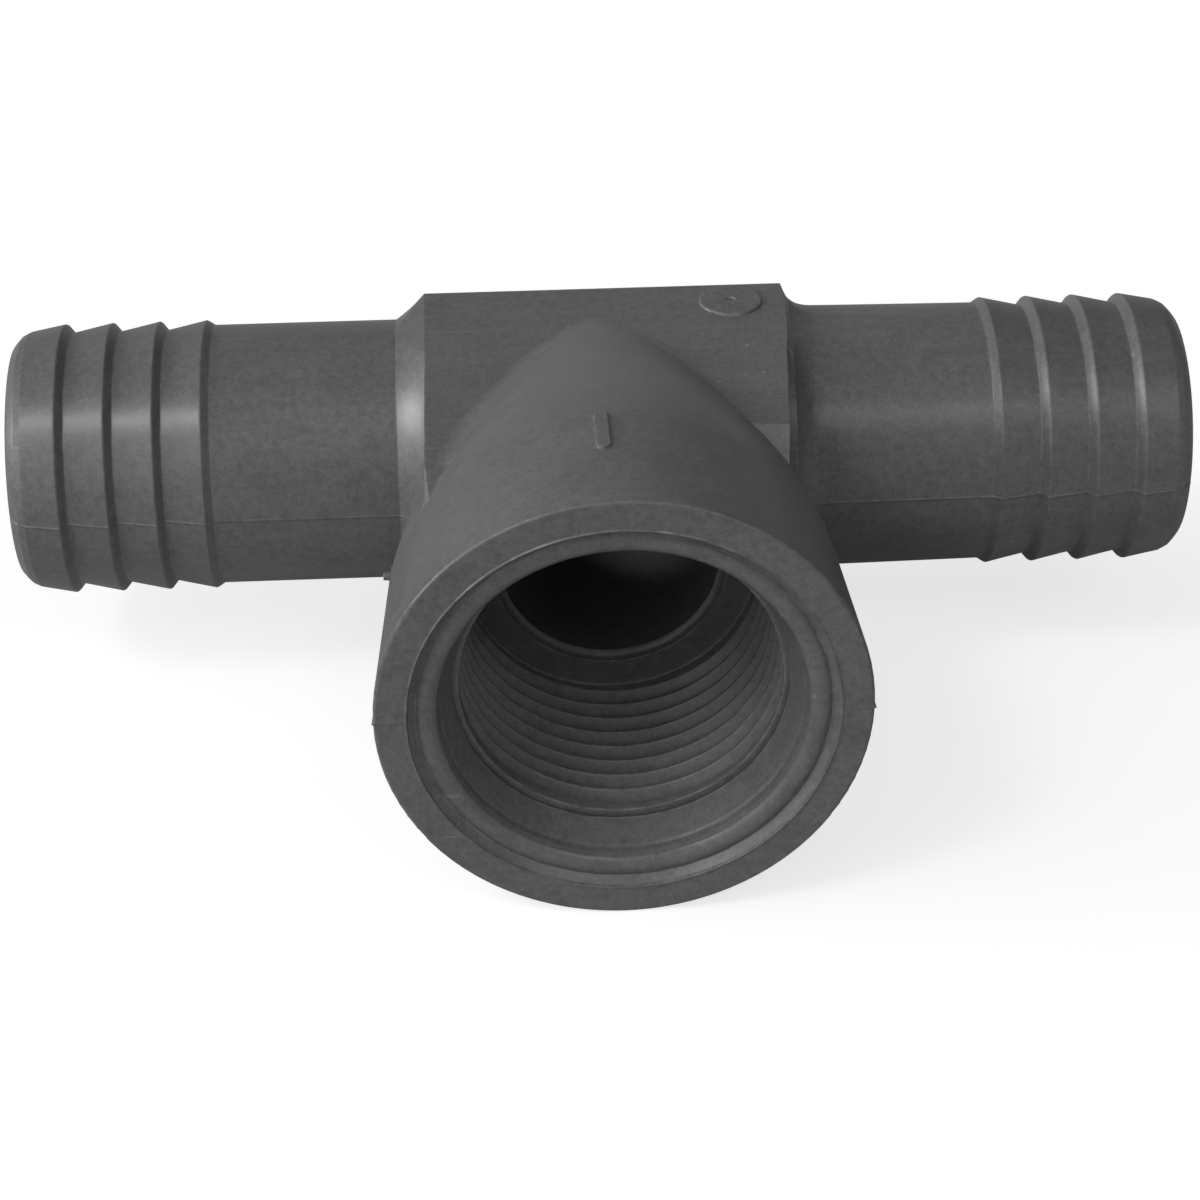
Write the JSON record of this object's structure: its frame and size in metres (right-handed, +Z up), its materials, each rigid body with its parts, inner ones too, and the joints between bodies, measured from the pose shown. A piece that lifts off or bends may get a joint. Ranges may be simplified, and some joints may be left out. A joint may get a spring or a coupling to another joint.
{
  "type": "pipe tee fitting",
  "caption": "Moulded tee: two barbed insert ends in line, a flat-sided centre block and a round boss with a tapered internal pipe thread.",
  "frame": {"origin": "crossing point of the run axis and the branch axis", "axes": "+X along the run (barb to barb), -Y along the branch out of the threaded mouth, +Z up, the direction in which the two mould halves part"},
  "size_m": [0.1172, 0.0641, 0.0448],
  "materials": {
    "grey_pvc": "satin moulded grey PVC"
  },
  "bodies": {
    "root": {"tee_body": "grey_pvc"}
  },
  "joints": []
}
